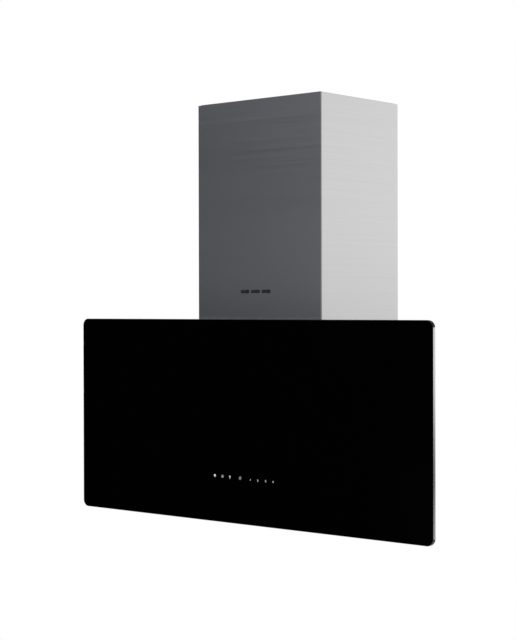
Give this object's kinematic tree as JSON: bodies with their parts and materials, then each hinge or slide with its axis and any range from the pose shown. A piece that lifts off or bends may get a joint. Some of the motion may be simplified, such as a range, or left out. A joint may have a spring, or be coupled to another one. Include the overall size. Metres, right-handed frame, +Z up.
{
  "type": "island range hood",
  "caption": "Ceiling-hung range hood: black glass panel that swings up over grease filters, steel chimney on a height-adjustable frame, blower with damper.",
  "frame": {"origin": "centre of the ceiling plate's top face, where it meets the ceiling", "axes": "+Z up, +X to the cook's right, +Y away from the cook, who stands on the -Y side facing the glass panel"},
  "size_m": [0.9, 0.3, 0.835],
  "materials": {
    "black_glass": "gloss",
    "brushed_stainless": "brushed",
    "zinc_steel": "satin",
    "screw_steel": "satin",
    "black_paint": "satin",
    "black_rubber": "matte",
    "bond_tape": "matte",
    "filter_aluminium": "satin",
    "wheel_metal": "satin",
    "motor_metal": "satin",
    "black_plastic": "matte",
    "circuit_board": "satin",
    "capacitor_can": "satin",
    "lamp_metal": "satin",
    "lamp_lens": "frosted",
    "cable_sheath": "matte"
  },
  "bodies": {
    "ceiling": {"ceiling_plate": "zinc_steel", "upper_frame_ring": "zinc_steel", "upper_frame_screws": "screw_steel", "upper_cover": "brushed_stainless", "upper_cover_screws": "screw_steel", "upper_post_front_left": "zinc_steel", "upper_post_front_right": "zinc_steel", "upper_post_rear_left": "zinc_steel", "upper_post_rear_right": "zinc_steel"},
    "hood": {"lower_post_front_left": "zinc_steel", "lower_post_front_right": "zinc_steel", "lower_post_rear_left": "zinc_steel", "lower_post_rear_right": "zinc_steel", "lower_frame_ring": "zinc_steel", "frame_clamp_screws": "screw_steel", "lower_frame_screws": "screw_steel", "lower_cover": "brushed_stainless", "top_plate": "zinc_steel", "housing_shell": "black_paint", "housing_floor": "black_paint", "body_screws": "screw_steel", "filter_box": "black_paint", "filter_seat": "black_paint", "filter_gasket": "black_rubber", "filter_frame_left": "filter_aluminium", "filter_frame_right": "filter_aluminium", "filter_mesh_left": "filter_aluminium", "filter_mesh_right": "filter_aluminium", "hinge_brackets": "zinc_steel", "hinge_pins": "zinc_steel", "magnet_catches": "black_plastic", "scroll_left": "black_plastic", "scroll_right": "black_plastic", "scroll_pads": "black_rubber", "motor_bracket": "zinc_steel", "motor_bushes": "black_rubber", "motor_body": "motor_metal", "outlet_collar": "black_plastic", "damper_pin": "zinc_steel", "power_box": "black_plastic", "power_box_lid": "black_plastic", "control_board": "circuit_board", "capacitor": "capacitor_can", "cable_gland": "black_plastic", "lamp_housings": "lamp_metal", "lamp_lenses": "lamp_lens", "wiring_loom": "cable_sheath"},
    "panel": {"glass_panel": "black_glass", "panel_tape": "bond_tape", "panel_carrier": "black_paint", "hinge_arms": "zinc_steel", "strike_plates": "zinc_steel", "touch_module": "black_plastic", "touch_board": "circuit_board"},
    "wheel": {"blower_wheel": "wheel_metal", "motor_shaft": "zinc_steel"},
    "front_flap": {"damper_flap_front": "filter_aluminium"},
    "rear_flap": {"damper_flap_rear": "filter_aluminium"},
    "left_latch": {"filter_latch_left": "black_plastic"},
    "right_latch": {"filter_latch_right": "black_plastic"}
  },
  "joints": [
    {"name": "height_adjust", "type": "slide", "parent": "ceiling", "child": "hood", "axis": [0, 0, 1], "range_m": [-0.3, 0]},
    {"name": "panel_hinge", "type": "hinge", "parent": "hood", "child": "panel", "pos_m": [0, -0.153, -0.446], "axis": [-1, 0, 0], "range_deg": [0, 80]},
    {"name": "wheel_spin", "type": "hinge", "parent": "hood", "child": "wheel", "pos_m": [0, 0.0325, -0.62], "axis": [1, 0, 0], "continuous": true},
    {"name": "front_flap_hinge", "type": "hinge", "parent": "hood", "child": "front_flap", "pos_m": [0, 0, -0.436], "axis": [-1, 0, 0], "range_deg": [0, 80]},
    {"name": "rear_flap_hinge", "type": "hinge", "parent": "hood", "child": "rear_flap", "pos_m": [0, 0, -0.436], "axis": [1, 0, 0], "range_deg": [0, 80]},
    {"name": "left_latch_slide", "type": "slide", "parent": "hood", "child": "left_latch", "axis": [0, 0, 1], "range_m": [0, 0.005], "stiffness_N_per_m": 400, "springref_m": -0.005},
    {"name": "right_latch_slide", "type": "slide", "parent": "hood", "child": "right_latch", "axis": [0, 0, 1], "range_m": [0, 0.005], "stiffness_N_per_m": 400, "springref_m": -0.005}
  ]
}
